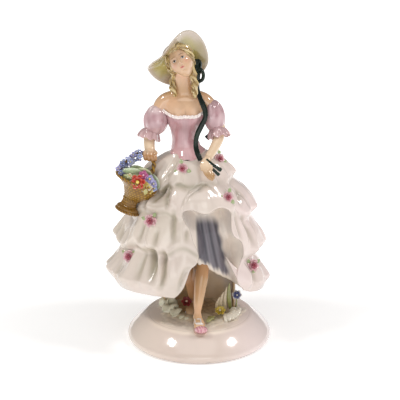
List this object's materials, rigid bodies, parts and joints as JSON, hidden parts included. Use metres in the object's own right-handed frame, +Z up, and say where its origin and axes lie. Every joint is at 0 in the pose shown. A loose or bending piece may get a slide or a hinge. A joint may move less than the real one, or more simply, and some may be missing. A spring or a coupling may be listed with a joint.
{
  "type": "porcelain lady figurine",
  "caption": "Glazed porcelain figurine of a lady in a wide-brimmed hat and flounced skirt, with a flower basket, standing on a round base.",
  "frame": {"origin": "centre of the base's flat underside", "axes": "+Z up, and the lady faces -Y"},
  "size_m": [0.1576, 0.138, 0.3016],
  "materials": {
    "glazed_porcelain": "clear gloss glaze over hand painting"
  },
  "bodies": {
    "root": {"lady_figurine": "glazed_porcelain"}
  },
  "joints": []
}
